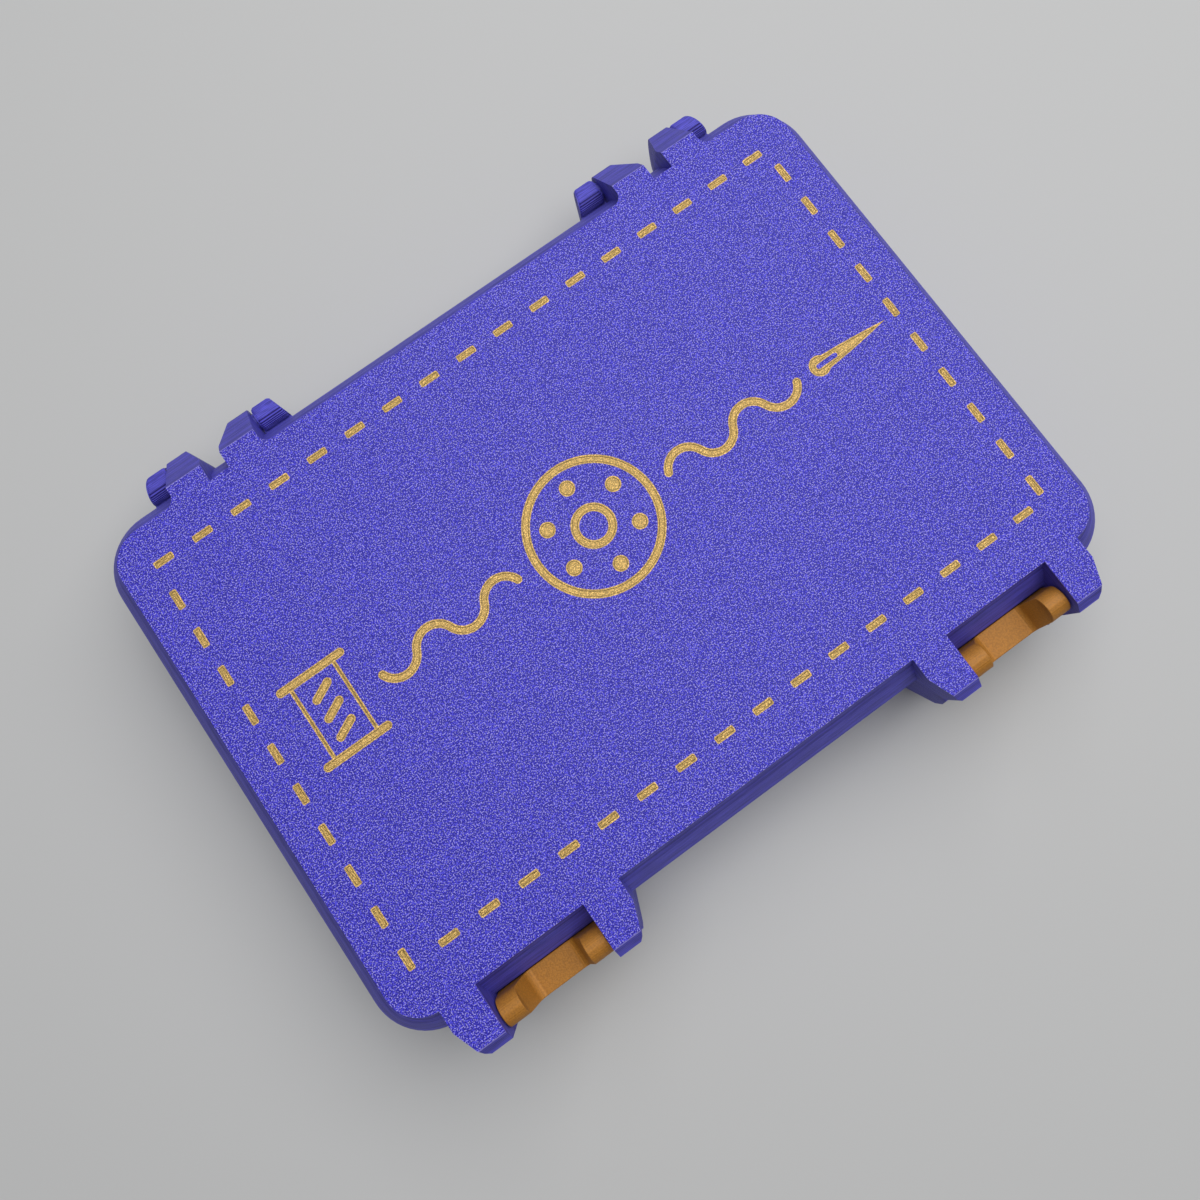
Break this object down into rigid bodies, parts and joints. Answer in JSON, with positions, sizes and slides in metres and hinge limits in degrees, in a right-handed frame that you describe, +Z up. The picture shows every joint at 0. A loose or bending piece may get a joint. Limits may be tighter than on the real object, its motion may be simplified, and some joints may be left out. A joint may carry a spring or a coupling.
{
  "type": "bobbin storage case",
  "caption": "Flat hinged hard case for sewing machine bobbins, with a flanged base and lid, snap latches on the front edge, a comb rack inside and gold inlay in the lid",
  "frame": {"origin": "under the middle of the two shells' rectangular outline, on the resting face of the base", "axes": "+X along the case to the right as its front is faced, +Y from the latches to the hinges, +Z up"},
  "size_m": [0.157, 0.1224, 0.03],
  "materials": {
    "case_plastic": "printed violet blue plastic, sandy texture on the lid's top face, fine layer lines on the sides",
    "rack_plastic": "printed violet blue plastic with fine layer lines",
    "gold_inlay": "printed gold plastic with fine lines along each stroke, flush with the lid",
    "latch_plastic": "printed silky gold plastic with fine layer lines"
  },
  "bodies": {
    "base": {"base_shell": "case_plastic", "bobbin_rack": "rack_plastic"},
    "lid": {"lid_shell": "case_plastic", "stitch_border": "gold_inlay", "thread_motif": "gold_inlay"},
    "latch_left": {"latch_left": "latch_plastic"},
    "latch_right": {"latch_right": "latch_plastic"}
  },
  "joints": [
    {"name": "lid_hinge", "type": "hinge", "parent": "base", "child": "lid", "pos_m": [0, 0.0576, 0.0198], "axis": [-1, 0, 0], "range_deg": [0, 180]},
    {"name": "latch_left_pivot", "type": "hinge", "parent": "lid", "child": "latch_left", "pos_m": [-0.0497, -0.0565, 0.0257], "axis": [-1, 0, 0], "range_deg": [0, 110]},
    {"name": "latch_right_pivot", "type": "hinge", "parent": "lid", "child": "latch_right", "pos_m": [0.0497, -0.0565, 0.0257], "axis": [-1, 0, 0], "range_deg": [0, 110]}
  ]
}
